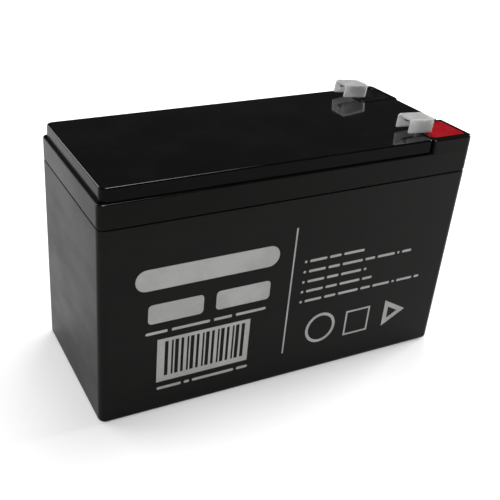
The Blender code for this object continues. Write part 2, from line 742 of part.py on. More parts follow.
def terminal_set(name, side, tilt, slack, resin):
    """All that stands in one pocket: opening, seal, tab, resin and cap."""
    y = side * TERMINAL_Y
    low_y, high_y = sorted((side * POCKET_NEAR_Y, side * POCKET_FAR_Y))
    shell_low, shell_high = sorted((side * BLOCK_Y, side * (HALF_WIDTH - LID_WALL / 2)))
    join(lid, rounded_box(
        f"{name}_pocket_shell", (BLOCK_X, shell_low, POCKET_FLOOR - POCKET_FLOOR_WALL),
        (HALF_LENGTH - LID_WALL / 2, shell_high, DECK_TOP),
    ))
    cut(lid, rounded_box(
        f"{name}_pocket", (POCKET_LOW_X, low_y, POCKET_FLOOR),
        (POCKET_HIGH_X, high_y, HEIGHT + BEYOND), corner=POCKET_CORNER,
    ))
    cut(lid, rod(
        f"{name}_post_hole", (POST_X, y, 0), POST_RADIUS + FIT_GAP,
        POCKET_FLOOR - POCKET_FLOOR_WALL - BEYOND, POCKET_FLOOR + BEYOND,
    ))
    ring = POST_RADIUS + FIT_GAP + SEAL_SECTION
    turns = 8
    turned(
        f"{name}_post_seal",
        [
            (
                ring + SEAL_SECTION * math.sin(2 * math.pi * step / turns),
                POCKET_FLOOR + FIT_GAP + SEAL_SECTION * (1 + math.cos(2 * math.pi * step / turns)),
            )
            for step in range(turns)
        ],
        (POST_X, y, 0), SEAL_RUBBER,
    )
    lowest = CAP_DEPTH * math.cos(tilt) + cap_end(tilt, slack) * math.sin(tilt)
    bend_height = HEIGHT + FIT_GAP + lowest
    terminal(f"{name}_terminal", y, tilt, bend_height)
    fill = rounded_box(
        f"{name}_epoxy", (POCKET_LOW_X + FIT_GAP, low_y + FIT_GAP, SEAL_TOP + FIT_GAP),
        (POCKET_HIGH_X - FIT_GAP, high_y - FIT_GAP, EPOXY_TOP), resin,
        corner=POCKET_CORNER - FIT_GAP,
    )
    room = TAB_THICKNESS / 2 + FIT_GAP
    half = TAB_WIDTH / 2 + FIT_GAP
    cut(
        fill,
        rod(f"{name}_post_room", (POST_X, y, 0), POST_RADIUS + FIT_GAP, POCKET_FLOOR, TERMINAL_FOOT),
        rounded_box(
            f"{name}_foot_room", (LEG_X - room, y - half, TERMINAL_FOOT - room),
            (LEG_X + FOOT_LENGTH + FIT_GAP, y + half, TERMINAL_FOOT + room),
        ),
        rounded_box(
            f"{name}_leg_room", (LEG_X - room, y - half, TERMINAL_FOOT),
            (LEG_X + room, y + half, HEIGHT + BEYOND),
        ),
    )
    cap(f"{name}_terminal_cap", y, tilt, bend_height, slack)


terminal_set("positive", -1, FRONT_CAP_TILT, 0.0, RED_EPOXY)
terminal_set("negative", 1, BACK_CAP_TILT, BACK_CAP_SLACK, BLACK_EPOXY)
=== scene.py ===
"""Sealed lead acid battery: how it looks, section by section as it is put together."""

import math

import bmesh
import bpy
from mathutils import Matrix, Vector


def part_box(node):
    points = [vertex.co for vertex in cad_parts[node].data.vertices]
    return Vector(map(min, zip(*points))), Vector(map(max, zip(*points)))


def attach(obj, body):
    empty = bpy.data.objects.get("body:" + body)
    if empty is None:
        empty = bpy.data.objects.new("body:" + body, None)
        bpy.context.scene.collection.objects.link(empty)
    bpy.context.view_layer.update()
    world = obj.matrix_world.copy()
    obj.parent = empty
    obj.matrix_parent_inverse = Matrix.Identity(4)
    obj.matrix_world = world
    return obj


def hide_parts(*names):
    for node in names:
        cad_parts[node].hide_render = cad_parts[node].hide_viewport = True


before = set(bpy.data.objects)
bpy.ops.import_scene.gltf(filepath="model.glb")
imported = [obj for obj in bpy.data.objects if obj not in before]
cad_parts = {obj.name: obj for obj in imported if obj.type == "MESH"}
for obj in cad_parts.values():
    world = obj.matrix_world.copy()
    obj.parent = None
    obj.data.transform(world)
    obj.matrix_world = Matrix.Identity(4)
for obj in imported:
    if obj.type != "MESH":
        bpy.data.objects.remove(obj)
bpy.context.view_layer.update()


# Container: the open tub that holds the cells, injection moulded in black ABS with a fine
# sparked finish. Six cell spaces lie between a long partition and two cross partitions, and a
# thin lip stands round its rim. The lid is glued down into it.
tub_low, tub_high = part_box("container")
tub_corner = 0.0028
tub_foot = 0.0015
tub_edge = 0.00035
tub_draft = 0.0003
cell_corner = 0.0008
tub_wall = 0.0022
tub_floor = 0.0025
partition = 0.0015
rim_lip = 0.0011
rebate_floor = 0.0786
clearance = 0.0003
past = 0.002
close = 0.00001


def start_block(name, low, high):
    """A cube added at its size and place, which the steps after it shape."""
    bpy.ops.object.select_all(action="DESELECT")
    bpy.ops.mesh.primitive_cube_add(size=1, location=[(a + b) / 2 for a, b in zip(low, high)])
    piece = bpy.context.object
    piece.name = name
    piece.scale = [b - a for a, b in zip(low, high)]
    bpy.ops.object.transform_apply(location=True, rotation=True, scale=True)
    return piece


def start_rod(name, centre, radius, low, high, axis="Z", sides=48):
    """A cylinder between two levels of its axis."""
    bpy.ops.object.select_all(action="DESELECT")
    place = Vector(centre)
    place["XYZ".index(axis)] = (low + high) / 2
    turn = {"X": (0, math.pi / 2, 0), "Y": (math.pi / 2, 0, 0), "Z": (0, 0, 0)}[axis]
    bpy.ops.mesh.primitive_cylinder_add(
        vertices=sides, radius=radius, depth=high - low, location=place, rotation=turn
    )
    piece = bpy.context.object
    piece.name = name
    bpy.ops.object.transform_apply(location=True, rotation=True, scale=True)
    return piece


def enter(piece, kind):
    """Opens a piece in edit mode, with nothing chosen on it."""
    bpy.ops.object.select_all(action="DESELECT")
    bpy.context.view_layer.objects.active = piece
    piece.select_set(True)
    bpy.ops.object.mode_set(mode="EDIT")
    bpy.ops.mesh.select_mode(type=kind)
    bpy.ops.mesh.select_all(action="DESELECT")
    return bmesh.from_edit_mesh(piece.data)


def leave():
    bpy.ops.object.mode_set(mode="OBJECT")


def choose_points(piece, test):
    shape = enter(piece, "VERT")
    for point in shape.verts:
        if test(point.co):
            point.select_set(True)
    shape.select_flush_mode()
    bmesh.update_edit_mesh(piece.data)


def choose_edges(piece, test):
    shape = enter(piece, "EDGE")
    for edge in shape.edges:
        if test(*(point.co for point in edge.verts)):
            edge.select_set(True)
    shape.select_flush_mode()
    bmesh.update_edit_mesh(piece.data)


def upright(a, b):
    return abs(a.z - b.z) > 0.7 * (a - b).length


def round_off(piece, radius, steps, test):
    """Rounds the edges whose two ends pass the test."""
    choose_edges(piece, test)
    bpy.ops.mesh.bevel(offset=radius, segments=steps, profile=0.5, affect="EDGES")
    leave()


def finish_with(piece, kind, **settings):
    """Adds a modifier and applies it."""
    step = piece.modifiers.new(kind.lower(), kind)
    for setting, value in settings.items():
        setattr(step, setting, value)
    bpy.ops.object.select_all(action="DESELECT")
    bpy.context.view_layer.objects.active = piece
    piece.select_set(True)
    bpy.ops.object.modifier_apply(modifier=step.name)


def carve(piece, *cutters):
    for cutter in cutters:
        finish_with(piece, "BOOLEAN", operation="DIFFERENCE", solver="EXACT", object=cutter)
        bpy.data.objects.remove(cutter)


def dress(piece, material, *nodes, slot, angle=32):
    """Smooth shading that keeps the flats flat, the finish, and the piece's place in the frame."""
    bpy.ops.object.select_all(action="DESELECT")
    bpy.context.view_layer.objects.active = piece
    piece.select_set(True)
    bpy.ops.object.shade_smooth_by_angle(angle=math.radians(angle))
    finish_with(piece, "WEIGHTED_NORMAL", keep_sharp=True, weight=50)
    piece.data.materials.clear()
    piece.data.materials.append(material)
    if nodes:
        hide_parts(*nodes)
    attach(piece, "root")


def new_finish(name):
    """A material with its shader, and the object's own coordinates in millimetres."""
    material = bpy.data.materials.new(name)
    material.use_nodes = True
    tree = material.node_tree
    place = tree.nodes.new("ShaderNodeTexCoord")
    scaled = tree.nodes.new("ShaderNodeVectorMath")
    scaled.operation = "SCALE"
    scaled.inputs["Scale"].default_value = 1000
    tree.links.new(place.outputs["Object"], scaled.inputs[0])
    return material, tree, tree.nodes["Principled BSDF"], scaled.outputs["Vector"]


def grain(tree, place, per_mm, detail=2.0, roughness=0.5, stretch=(1, 1, 1)):
    """Noise of so many lumps a millimetre, longer where the stretch is less than one."""
    shift = tree.nodes.new("ShaderNodeMapping")
    shift.inputs["Scale"].default_value = stretch
    tree.links.new(place, shift.inputs["Vector"])
    noise = tree.nodes.new("ShaderNodeTexNoise")
    noise.inputs["Scale"].default_value = per_mm
    noise.inputs["Detail"].default_value = detail
    noise.inputs["Roughness"].default_value = roughness
    tree.links.new(shift.outputs["Vector"], noise.inputs["Vector"])
    return noise.outputs["Fac"]


def band(tree, value, low, high, to_low=0.0, to_high=1.0):
    """The value taken from one range to another, and held at its ends."""
    step = tree.nodes.new("ShaderNodeMapRange")
    step.interpolation_type = "SMOOTHSTEP"
    for socket, number in (
        ("From Min", low), ("From Max", high), ("To Min", to_low), ("To Max", to_high)
    ):
        step.inputs[socket].default_value = number
    tree.links.new(value, step.inputs["Value"])
    return step.outputs["Result"]


def blend(tree, share, first, second):
    """Two colours, mixed by the share. Each is a colour or another node's output."""
    mixed = tree.nodes.new("ShaderNodeMix")
    mixed.data_type = "RGBA"
    tree.links.new(share, mixed.inputs[0])
    for socket, colour in ((mixed.inputs[6], first), (mixed.inputs[7], second)):
        if isinstance(colour, tuple):
            socket.default_value = (*colour, 1)
        else:
            tree.links.new(colour, socket)
    return mixed.outputs[2]


def reckon(tree, operation, first, second):
    """Arithmetic on numbers or on other nodes' outputs."""
    sum_of = tree.nodes.new("ShaderNodeMath")
    sum_of.operation = operation
    for socket, value in ((sum_of.inputs[0], first), (sum_of.inputs[1], second)):
        if isinstance(value, (int, float)):
            socket.default_value = value
        else:
            tree.links.new(value, socket)
    return sum_of.outputs[0]


def raise_by(tree, shader, height, depth, strength=1.0):
    """Relief on the surface: the height's full range stands this many metres proud."""
    relief = tree.nodes.new("ShaderNodeBump")
    relief.inputs["Strength"].default_value = strength
    relief.inputs["Distance"].default_value = depth
    tree.links.new(height, relief.inputs["Height"])
    tree.links.new(relief.outputs["Normal"], shader.inputs["Normal"])


def moulded_abs(name, colour, paler, shine, rough, grit):
    """Black ABS from a sparked mould: fine grit, faint flow marks, rubbed scuffs, a little dust."""
    material, tree, shader, place = new_finish(name)
    flow = grain(tree, place, 0.035, 3, 0.6, (1, 1, 2.2))
    grit_fine = grain(tree, place, 4.5, 2)
    grit_coarse = grain(tree, place, 1.7, 1)
    scuff = band(tree, grain(tree, place, 1.1, 4, 0.7, (0.06, 0.06, 1.4)), 0.665, 0.76)
    dust = band(tree, grain(tree, place, 2.6, 2, 0.6), 0.745, 0.80)
    body = blend(tree, band(tree, flow, 0.35, 0.68), colour, paler)
    body = blend(tree, reckon(tree, "MULTIPLY", scuff, 0.30), body, (0.055, 0.055, 0.054))
    body = blend(tree, reckon(tree, "MULTIPLY", dust, 0.35), body, (0.11, 0.108, 0.10))
    tree.links.new(body, shader.inputs["Base Color"])
    roughness = band(tree, flow, 0.3, 0.7, rough - 0.03, rough + 0.04)
    roughness = reckon(tree, "ADD", roughness, reckon(tree, "MULTIPLY", scuff, 0.10))
    tree.links.new(roughness, shader.inputs["Roughness"])
    height = reckon(tree, "ADD", grit_fine, reckon(tree, "MULTIPLY", grit_coarse, 0.8))
    raise_by(tree, shader, height, grit)
    shader.inputs["Specular IOR Level"].default_value = shine
    return material


container_black = moulded_abs(
    "sparked_black_abs", (0.0020, 0.0018, 0.0014), (0.0034, 0.0031, 0.0026),
    shine=0.089, rough=0.37, grit=0.000012,
)

tub = start_block("container_tub", tub_low, tub_high)
choose_points(tub, lambda p: p.z < tub_low.z + close)
bpy.ops.transform.resize(
    value=(1 - 2 * tub_draft / (tub_high.x - tub_low.x), 1 - 2 * tub_draft / (tub_high.y - tub_low.y), 1)
)
leave()
round_off(tub, tub_corner, 8, upright)
round_off(tub, tub_foot, 5, lambda a, b: max(a.z, b.z) < tub_low.z + close)
round_off(tub, tub_edge, 3, lambda a, b: min(a.z, b.z) > tub_high.z - close)

cell_length = (tub_high.x - tub_low.x - 2 * tub_wall - 2 * partition) / 3
cell_width = (tub_high.y - tub_low.y - 2 * tub_wall - partition) / 2
column_pitch = cell_length + partition
row_y = (cell_width + partition) / 2
for column in (-1, 0, 1):
    for row in (-1, 1):
        cell = start_block(
            "cell_space",
            (column * column_pitch - cell_length / 2, row * row_y - cell_width / 2, tub_floor),
            (column * column_pitch + cell_length / 2, row * row_y + cell_width / 2, tub_high.z + past),
        )
        round_off(cell, cell_corner, 4, upright)
        carve(tub, cell)
rebate = start_block(
    "rebate", (tub_low.x + rim_lip, tub_low.y + rim_lip, rebate_floor),
    (tub_high.x - rim_lip, tub_high.y - rim_lip, tub_high.z + past),
)
round_off(rebate, tub_corner - rim_lip, 5, upright)
carve(tub, rebate)
for number in range(1, 6):
    low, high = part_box(f"cell_weld_{number}")
    centre = (low + high) / 2
    axis = "X" if high.x - low.x < high.y - low.y else "Y"
    along = centre["XYZ".index(axis)]
    carve(tub, start_rod(
        "weld_hole", centre, (high.z - low.z) / 2 + clearance, along - past, along + past, axis, 24
    ))
dress(tub, container_black, "container", slot="case_plastic")


# Plates: grids of lead alloy pasted with active material, brown lead dioxide on the positive
# and grey sponge lead on the negative. A cast strap joins the lugs of each group.
paste_top_mm = 63.0
rib_pitch_mm = 2.4
wire_pitch_mm = 1.7


def pasted_plate(name, paste, cracked, metal, paste_rough):
    material, tree, shader, place = new_finish(name)
    axes = tree.nodes.new("ShaderNodeSeparateXYZ")
    tree.links.new(place, axes.inputs[0])
    rib = reckon(tree, "PINGPONG", axes.outputs["X"], rib_pitch_mm)
    wire = reckon(tree, "PINGPONG", axes.outputs["Z"], wire_pitch_mm)
    mesh_of_wires = reckon(
        tree, "MAXIMUM", band(tree, rib, 0.0, 0.55, 1, 0), band(tree, wire, 0.0, 0.45, 1, 0)
    )
    cast = band(tree, axes.outputs["Z"], paste_top_mm, paste_top_mm + 0.6)
    lumps = grain(tree, place, 0.9, 5, 0.65)
    fine = grain(tree, place, 6.0, 3)
    pasted = blend(tree, band(tree, lumps, 0.35, 0.65), paste, cracked)
    pasted = blend(tree, reckon(tree, "MULTIPLY", mesh_of_wires, 0.35), pasted, metal)
    tree.links.new(blend(tree, cast, pasted, metal), shader.inputs["Base Color"])
    tree.links.new(cast, shader.inputs["Metallic"])
    tree.links.new(band(tree, cast, 0, 1, paste_rough, 0.42), shader.inputs["Roughness"])
    height = reckon(tree, "ADD", fine, reckon(tree, "MULTIPLY", mesh_of_wires, 0.6))
    raise_by(tree, shader, reckon(tree, "ADD", height, lumps), 0.00012)
    return material


positive_paste = pasted_plate(
    "lead_dioxide_paste", (0.045, 0.022, 0.015), (0.085, 0.045, 0.030), (0.30, 0.30, 0.31), 0.85
)
negative_paste = pasted_plate(
    "sponge_lead_paste", (0.13, 0.135, 0.14), (0.22, 0.225, 0.23), (0.34, 0.34, 0.35), 0.75
)
for number in range(1, 7):
    for sign, paste in (("positive", positive_paste), ("negative", negative_paste)):
        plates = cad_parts[f"{sign}_plates_{number}"]
        plates.data.materials.clear()
        plates.data.materials.append(paste)


# Separators: one long sheet of absorbent glass mat in each cell, folded in pleats between the
# plates. It is white, soft and wet with acid, and it is held only by the pressure of the stack.
glass_mat, tree, shader, place = new_finish("absorbent_glass_mat")
fibres = reckon(
    tree, "MAXIMUM",
    grain(tree, place, 3.0, 3, 0.6, (0.25, 1, 2.2)), grain(tree, place, 3.4, 3, 0.6, (1.9, 1, 0.3)),
)
damp = grain(tree, place, 0.12, 3, 0.6)
fleece = blend(tree, band(tree, fibres, 0.42, 0.72), (0.62, 0.62, 0.59), (0.86, 0.86, 0.84))
tree.links.new(
    blend(tree, band(tree, damp, 0.4, 0.7, 0, 0.6), fleece, (0.55, 0.55, 0.50)),
    shader.inputs["Base Color"],
)
tree.links.new(band(tree, damp, 0.35, 0.7, 0.95, 0.62), shader.inputs["Roughness"])
shader.inputs["Sheen Weight"].default_value = 0.15
raise_by(tree, shader, fibres, 0.00008)
for number in range(1, 7):
    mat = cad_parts[f"separator_{number}"]
    mat.data.materials.clear()
    mat.data.materials.append(glass_mat)


# Cell welds: lead squeezed and fused through a hole in each partition, from the strap of one
# cell to the strap of the next. The face is dull grey with a ripple from the jaws.
weld_lead, tree, shader, place = new_finish("fused_lead")
ripple = grain(tree, place, 1.2, 4, 0.6)
bloom = grain(tree, place, 0.5, 3, 0.7)
tree.links.new(
    blend(tree, band(tree, bloom, 0.35, 0.7), (0.27, 0.27, 0.29), (0.45, 0.45, 0.45)),
    shader.inputs["Base Color"],
)
shader.inputs["Metallic"].default_value = 0.9
tree.links.new(band(tree, ripple, 0.3, 0.7, 0.35, 0.6), shader.inputs["Roughness"])
raise_by(tree, shader, ripple, 0.0001)
for number in range(1, 6):
    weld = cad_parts[f"cell_weld_{number}"]
    weld.data.materials.clear()
    weld.data.materials.append(weld_lead)


# Lid: one black ABS moulding, glued to the container by a tongue inside its lip. It has a low
# ledge all round, a block with an open pocket at each +X corner, and, hidden by the cover, a
# sunk deck with six filling tubes. Ribs below it close the tops of the partitions.
lid_bottom = 0.0802
tongue_bottom = 0.0789
lid_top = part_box("lid")[1].z
lid_corner = 0.0028
ledge = 0.0889
ledge_edge = 0.0005
block_edge = 0.0005
block_corner = 0.0008
block_root = 0.003
foot_edge = 0.0002
tongue_corner = 0.0012
hair = 0.00002
block_x = 0.0568
block_y = 0.0135
deck_top = 0.0865
deck_below = 0.0845
pocket_floor = 0.084
pocket_corner = 0.002
pocket_below = 0.002
shelf = 0.0026
gallery_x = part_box("top_cover")[1].x - shelf
gallery_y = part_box("top_cover")[1].y - shelf
gallery_block_x = block_x - shelf
gallery_block_y = block_y - shelf
tube_radius = 0.0045
tube_bore = 0.0028
tube_top = 0.0905
tube_edge = 0.0005
post_room = 0.0035
seated = 0.0014
rib_end = 0.0018
sunk = 0.001


def weld_on(piece, *others):
    for other in others:
        finish_with(piece, "BOOLEAN", operation="UNION", solver="EXACT", object=other)
        bpy.data.objects.remove(other)


lid_black = moulded_abs(
    "sparked_black_abs_lid", (0.0018, 0.0017, 0.0013), (0.0030, 0.0027, 0.0023),
    shine=0.068, rough=0.32, grit=0.000011,
)
rubbed_edge = moulded_abs(
    "rubbed_abs_edge", (0.0022, 0.0020, 0.0018), (0.0034, 0.0031, 0.0028),
    shine=0.6, rough=0.14, grit=0.000004,
)

lid = start_block("lid_moulding", (tub_low.x, tub_low.y, lid_bottom), (tub_high.x, tub_high.y, ledge))
round_off(lid, lid_corner, 8, upright)
round_off(lid, foot_edge, 2, lambda a, b: max(a.z, b.z) < lid_bottom + close)
round_off(lid, ledge_edge, 4, lambda a, b: min(a.z, b.z) > ledge - close)
for side in (-1, 1):
    near, far = sorted((side * block_y, side * (tub_high.y - hair)))
    block = start_block("block", (block_x, near, ledge - block_root), (tub_high.x - hair, far, lid_top))
    round_off(
        block, lid_corner - hair, 8,
        lambda a, b: upright(a, b) and a.x > block_x + close and abs(a.y) > block_y + close,
    )
    round_off(
        block, block_corner, 4,
        lambda a, b: upright(a, b) and (a.x < block_x + close or abs(a.y) < block_y + close),
    )
    round_off(block, block_edge, 4, lambda a, b: min(a.z, b.z) > lid_top - close)
    weld_on(lid, block)
tongue = start_block(
    "tongue", (tub_low.x + seated, tub_low.y + seated, tongue_bottom),
    (tub_high.x - seated, tub_high.y - seated, lid_bottom + past),
)
round_off(tongue, tongue_corner, 5, upright)
weld_on(lid, tongue)
hollow = start_block(
    "hollow", (tub_low.x + tub_wall, tub_low.y + tub_wall, tongue_bottom - past),
    (tub_high.x - tub_wall, tub_high.y - tub_wall, deck_below),
)
round_off(hollow, cell_corner, 4, upright)
carve(
    lid, hollow,
    start_block(
        "gallery", (-gallery_x, -gallery_y, deck_top), (gallery_block_x, gallery_y, lid_top + past)
    ),
    start_block(
        "gallery", (gallery_block_x - past, -gallery_block_y, deck_top),
        (gallery_x, gallery_block_y, lid_top + past),
    ),
)
weld_on(lid, start_block(
    "rib", (tub_low.x + rib_end, -partition / 2, tongue_bottom),
    (tub_high.x - rib_end, partition / 2, deck_below + sunk),
))
for side in (-1, 1):
    rib_x = side * column_pitch / 2
    weld_on(lid, start_block(
        "rib", (rib_x - partition / 2, tub_low.y + rib_end, tongue_bottom),
        (rib_x + partition / 2, tub_high.y - rib_end, deck_below + sunk),
    ))
for number in range(1, 7):
    low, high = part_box(f"vent_valve_{number}")
    centre = (low + high) / 2
    tube = start_rod("tube", centre, tube_radius, deck_below + sunk, tube_top)
    round_off(tube, tube_edge, 3, lambda a, b: min(a.z, b.z) > tube_top - close)
    weld_on(lid, tube)
    carve(lid, start_rod("bore", centre, tube_bore, deck_below - past, tube_top + past))
for sign, side in (("positive", -1), ("negative", 1)):
    near, far = sorted((side * block_y, side * (tub_high.y - tub_wall / 2)))
    weld_on(lid, start_block(
        "pocket_shell", (block_x, near, pocket_floor - pocket_below),
        (tub_high.x - tub_wall / 2, far, deck_top),
    ))
    low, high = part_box(f"{sign}_epoxy")
    pocket = start_block(
        "pocket", (low.x - clearance, low.y - clearance, pocket_floor),
        (high.x + clearance, high.y + clearance, lid_top + past),
    )
    round_off(pocket, pocket_corner, 8, upright)
    carve(lid, pocket)
    low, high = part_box(f"{sign}_post_seal")
    carve(lid, start_rod(
        "post_hole", (low + high) / 2, post_room, pocket_floor - 2 * past, pocket_floor + past
    ))
dress(lid, lid_black, "lid", slot="lid_plastic")
lid.data.materials.append(rubbed_edge)
for face in lid.data.polygons:
    if 0.5 < face.normal.z < 0.97 and face.normal.y < -0.2 and face.center.z > ledge - ledge_edge:
        face.material_index = 1


# Seam: adhesive squeezed out of the joint between the container's lip and the lid. It set as a
# thin uneven black bead inside the open groove.
bead_inset = 0.0006
bead_radius = 0.00026
lump_length = 0.0035
lump_height = 0.00007
long_side = 0.02
bpy.ops.object.select_all(action="DESELECT")
bpy.ops.mesh.primitive_plane_add(size=1, location=(0, 0, (tub_high.z + lid_bottom) / 2))
bead = bpy.context.object
bead.name = "seam_bead"
bead.scale = (tub_high.x - tub_low.x - 2 * bead_inset, tub_high.y - tub_low.y - 2 * bead_inset, 1)
bpy.ops.object.transform_apply(location=True, rotation=True, scale=True)
choose_points(bead, lambda p: True)
bpy.ops.mesh.bevel(offset=lid_corner - bead_inset, segments=8, affect="VERTICES")
bpy.ops.mesh.select_all(action="SELECT")
bpy.ops.mesh.delete(type="ONLY_FACE")
leave()
choose_edges(bead, lambda a, b: (a - b).length > long_side)
bpy.ops.mesh.subdivide(number_cuts=120)
leave()
bpy.ops.object.convert(target="CURVE")
bead.data.bevel_depth = bead_radius
bead.data.bevel_resolution = 2
bpy.ops.object.convert(target="MESH")
bead = bpy.context.object
lumpy = bpy.data.textures.new("squeezed_adhesive", "CLOUDS")
lumpy.noise_scale = lump_length
finish_with(
    bead, "DISPLACE", texture=lumpy, strength=lump_height, mid_level=0.5, texture_coords="LOCAL"
)
adhesive, tree, shader, place = new_finish("set_adhesive")
streak = grain(tree, place, 0.6, 3)
tree.links.new(
    blend(tree, band(tree, streak, 0.4, 0.65), (0.003, 0.003, 0.003), (0.007, 0.0065, 0.006)),
    shader.inputs["Base Color"],
)
tree.links.new(band(tree, streak, 0.35, 0.7, 0.5, 0.7), shader.inputs["Roughness"])
shader.inputs["Specular IOR Level"].default_value = 0.2
raise_by(tree, shader, grain(tree, place, 2.5, 2), 0.00003)
dress(bead, adhesive, slot="lid_plastic", angle=80)


# Valves: a soft rubber hood over each filling tube, which lifts to let gas out. They are
# pressed on by hand, dusted with talc, and the cover holds them down.
rubber, tree, shader, place = new_finish("valve_rubber_talced")
talc = band(tree, grain(tree, place, 0.8, 4, 0.65), 0.45, 0.75)
skin = grain(tree, place, 5.0, 2)
tree.links.new(
    blend(tree, reckon(tree, "MULTIPLY", talc, 0.5), (0.016, 0.016, 0.017), (0.12, 0.12, 0.115)),
    shader.inputs["Base Color"],
)
tree.links.new(band(tree, talc, 0, 1, 0.55, 0.85), shader.inputs["Roughness"])
raise_by(tree, shader, skin, 0.00003)
for number in range(1, 7):
    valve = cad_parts[f"vent_valve_{number}"]
    valve.data.materials.clear()
    valve.data.materials.append(rubber)


# Cover plate: a shallow tray in polished black ABS, turned over and welded on the ledge above
# the valves. Its top mirrors the room, and its two +X corners are cut out round the blocks.
cover_low, cover_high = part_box("top_cover")
end_ledge = 0.00125
weld_line = 0.00004
cover_low.x = tub_low.x + end_ledge
cover_high.x = tub_high.x - end_ledge
cover_low.z = ledge + weld_line
cover_corner = 0.0028
cover_edge = 0.0006
cover_draft = 0.0001
cover_skirt = 0.0016
cover_plate = 0.0018
notch_x = block_x - clearance
notch_y = block_y - clearance
notch_corner = 0.0009
notch_upright = 0.0008
near_notch = 0.0005


def choose_faces(piece, test):
    shape = enter(piece, "FACE")
    for face in shape.faces:
        if test(face.calc_center_median(), face.normal):
            face.select_set(True)
    shape.select_flush_mode()
    bmesh.update_edit_mesh(piece.data)


cover = start_block("cover_plate", cover_low, cover_high)
choose_points(cover, lambda p: p.z > cover_high.z - close)
bpy.ops.transform.resize(
    value=(1 - cover_draft / cover_high.x, 1 - cover_draft / cover_high.y, 1),
    center_override=(0, 0, cover_high.z),
)
leave()
round_off(cover, cover_corner, 8, upright)
for side in (-1, 1):
    near, far = sorted((side * notch_y, side * (tub_high.y + past)))
    notch = start_block(
        "notch", (notch_x, near, cover_low.z - past), (tub_high.x + past, far, cover_high.z + past)
    )
    round_off(notch, notch_corner, 5, upright)
    carve(cover, notch)
choose_faces(cover, lambda middle, normal: True)
bpy.ops.mesh.dissolve_limited(angle_limit=math.radians(1))
leave()
round_off(
    cover, notch_upright, 4,
    lambda a, b: upright(a, b) and a.x > notch_x - near_notch and (
        abs(a.y) > cover_high.y - near_notch or a.x > cover_high.x - near_notch
    ),
)
round_off(cover, cover_edge, 4, lambda a, b: min(a.z, b.z) > cover_high.z - close)
carve(
    cover,
    start_block(
        "underside", (cover_low.x + cover_skirt, cover_low.y + cover_skirt, cover_low.z - past),
        (notch_x - cover_skirt, cover_high.y - cover_skirt, cover_high.z - cover_plate),
    ),
    start_block(
        "underside", (notch_x - cover_skirt - past, -notch_y + cover_skirt, cover_low.z - past),
        (cover_high.x - cover_skirt, notch_y - cover_skirt, cover_high.z - cover_plate),
    ),
)

polished_abs, tree, shader, place = new_finish("polished_black_abs")
touched = grain(tree, place, 0.05, 4, 0.6)
hairline = band(tree, grain(tree, place, 2.4, 3, 0.6, (0.05, 1.6, 1)), 0.70, 0.78)
lint = band(tree, grain(tree, place, 1.9, 2, 0.6), 0.755, 0.80)
skin = blend(tree, band(tree, touched, 0.35, 0.7), (0.0020, 0.0020, 0.0022), (0.0036, 0.0036, 0.0038))
skin = blend(tree, reckon(tree, "MULTIPLY", hairline, 0.10), skin, (0.05, 0.05, 0.05))
tree.links.new(
    blend(tree, reckon(tree, "MULTIPLY", lint, 0.22), skin, (0.10, 0.10, 0.095)),
    shader.inputs["Base Color"],
)
gloss = band(tree, touched, 0.4, 0.75, 0.06, 0.10)
gloss = reckon(tree, "ADD", gloss, reckon(tree, "MULTIPLY", hairline, 0.10))
tree.links.new(gloss, shader.inputs["Roughness"])
shader.inputs["Specular IOR Level"].default_value = 0.5
raise_by(tree, shader, grain(tree, place, 0.03, 2), 0.00012, 0.35)
dress(cover, polished_abs, "top_cover", slot="cover_plastic")
satin_abs = moulded_abs(
    "satin_black_abs", (0.0018, 0.0017, 0.0015), (0.0030, 0.0028, 0.0026),
    shine=0.043, rough=0.15, grit=0.000008,
)
cover.data.materials.append(satin_abs)
for face in cover.data.polygons:
    face.material_index = 0 if face.normal.z > 0.75 else 1


# Terminals: tinned brass strip, riveted and soldered to the lead post in the pocket, bent up
# and then over towards the middle as a push-on blade. A rubber ring seals the post below it.
tinned, tree, shader, place = new_finish("tinned_brass")
rolled = grain(tree, place, 4.0, 3, 0.5, (0.12, 2.0, 0.12))
stain = band(tree, grain(tree, place, 0.7, 4, 0.65), 0.5, 0.72)
tree.links.new(
    blend(tree, reckon(tree, "MULTIPLY", stain, 0.45), (0.62, 0.61, 0.58), (0.30, 0.27, 0.22)),
    shader.inputs["Base Color"],
)
shader.inputs["Metallic"].default_value = 1.0
tree.links.new(band(tree, rolled, 0.3, 0.7, 0.24, 0.40), shader.inputs["Roughness"])
raise_by(tree, shader, rolled, 0.00001)
ring_rubber, tree, shader, place = new_finish("seal_ring_rubber")
wet = grain(tree, place, 1.0, 3)
tree.links.new(
    blend(tree, band(tree, wet, 0.4, 0.7), (0.012, 0.012, 0.012), (0.030, 0.029, 0.028)),
    shader.inputs["Base Color"],
)
tree.links.new(band(tree, wet, 0.35, 0.7, 0.6, 0.38), shader.inputs["Roughness"])
raise_by(tree, shader, grain(tree, place, 6.0, 2), 0.00002)
for sign in ("positive", "negative"):
    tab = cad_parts[f"{sign}_terminal"]
    tab.data.materials.clear()
    tab.data.materials.append(tinned)
    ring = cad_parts[f"{sign}_post_seal"]
    ring.data.materials.clear()
    ring.data.materials.append(ring_rubber)


# Resin: epoxy poured into each pocket round the terminal, red for positive and black for
# negative. It set level just below the rim, and it creeps up the walls in a thin meniscus.
leg_x = 0.0597
leg_width = 0.00475
strip = 0.0008
post_top = 0.088
foot_length = 0.0084
meniscus = ((0.0001, 0.00009), (0.00015, 0.00008), (0.00025, 0.00006), (0.0003, 0.00004))


